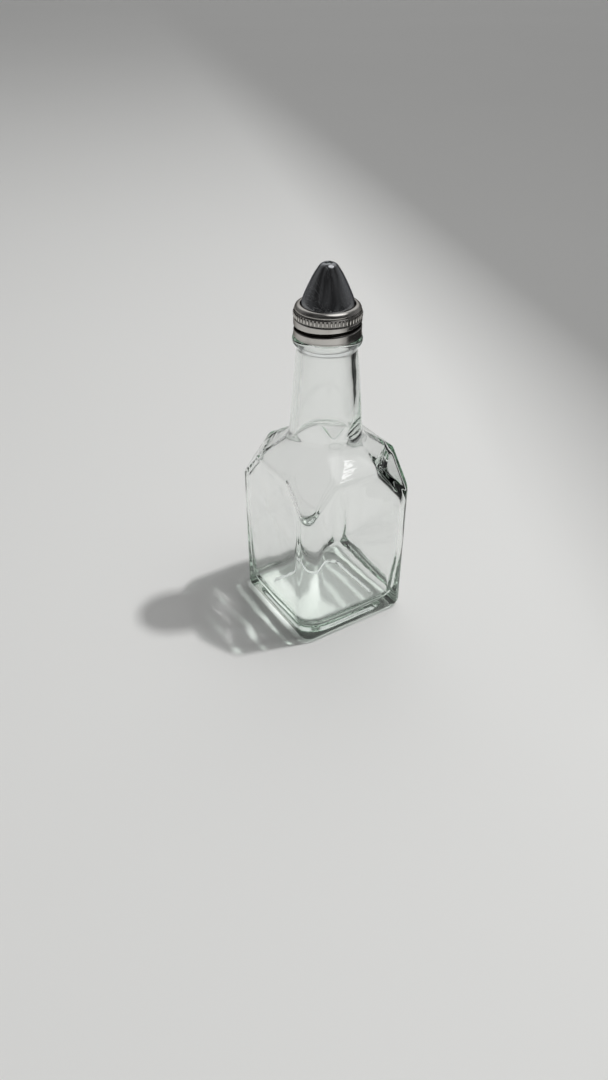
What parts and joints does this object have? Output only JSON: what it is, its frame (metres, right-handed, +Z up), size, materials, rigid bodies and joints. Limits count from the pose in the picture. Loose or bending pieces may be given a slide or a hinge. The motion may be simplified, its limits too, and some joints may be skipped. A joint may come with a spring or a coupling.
{
  "type": "oil and vinegar bottle",
  "caption": "Clear square glass table bottle with faceted shoulders and a slim neck, closed by a knurled metal screw collar that holds a conical spout for pouring oil or vinegar.",
  "frame": {"origin": "centre of the base, on the surface that the bottle stands on", "axes": "+Z up along the neck, with the body's flat sides facing X and Y"},
  "size_m": [0.06, 0.06, 0.1748],
  "materials": {
    "glass": "clear, glossy, faintly green where it is thick",
    "collar_metal": "satin sheet metal",
    "spout_metal": "polished chrome"
  },
  "bodies": {
    "root": {"glass_bottle": "glass", "screw_collar": "collar_metal", "pour_spout": "spout_metal"}
  },
  "joints": []
}
